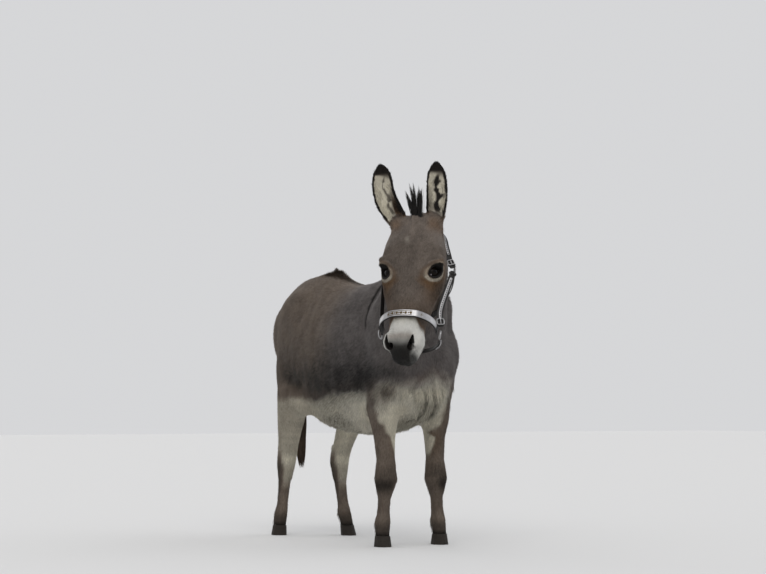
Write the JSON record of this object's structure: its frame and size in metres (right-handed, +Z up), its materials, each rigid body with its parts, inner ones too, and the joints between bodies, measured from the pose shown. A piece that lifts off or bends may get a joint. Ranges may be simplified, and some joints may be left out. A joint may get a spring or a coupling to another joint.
{
  "type": "miniature donkey",
  "caption": "Life-size standing miniature donkey, head turned to its right, wearing a strap halter with metal plates, as a museum-style animal model.",
  "frame": {"origin": "on the floor, under the middle of the whole box", "axes": "+Z up, -Y the way the body faces, +X the animal's left side"},
  "size_m": [0.4872, 1.1734, 1.1743],
  "materials": {
    "coat": "short grey-dun hair, cream below",
    "dark_hair": "coarse black-brown hair",
    "muzzle": "very short pale hair, charcoal skin at nostrils and lips",
    "eye": "wet gloss",
    "hoof": "dark ridged horn",
    "leather": "black leather, semi-gloss",
    "metal": "polished silver-coloured metal"
  },
  "bodies": {
    "root": {"croup_tuft": "coat", "ear_left": "coat", "ear_right": "coat", "eye_left": "eye", "eye_right": "eye", "forelock": "dark_hair", "front_left_cannon": "coat", "front_left_forearm": "coat", "front_left_hoof": "hoof", "front_left_pastern": "coat", "front_right_cannon": "coat", "front_right_forearm": "coat", "front_right_hoof": "hoof", "front_right_pastern": "coat", "halter_cheek_left": "leather", "halter_cheek_plate_left": "metal", "halter_cheek_plate_right": "metal", "halter_cheek_right": "leather", "halter_chin_strap": "leather", "halter_crown": "leather", "halter_crown_plate": "metal", "halter_lower_ring_left": "metal", "halter_lower_ring_right": "metal", "halter_nose_plate": "metal", "halter_noseband": "leather", "halter_throat_strap": "leather", "halter_upper_ring_left": "metal", "halter_upper_ring_right": "metal", "head": "coat", "hind_left_cannon": "coat", "hind_left_hoof": "hoof", "hind_left_pastern": "coat", "hind_left_thigh": "coat", "hind_right_cannon": "coat", "hind_right_hoof": "hoof", "hind_right_pastern": "coat", "hind_right_thigh": "coat", "lower_lip": "coat", "mane": "dark_hair", "muzzle": "muzzle", "neck": "coat", "tail_dock": "coat", "tail_switch": "dark_hair", "trunk": "coat"}
  },
  "joints": []
}
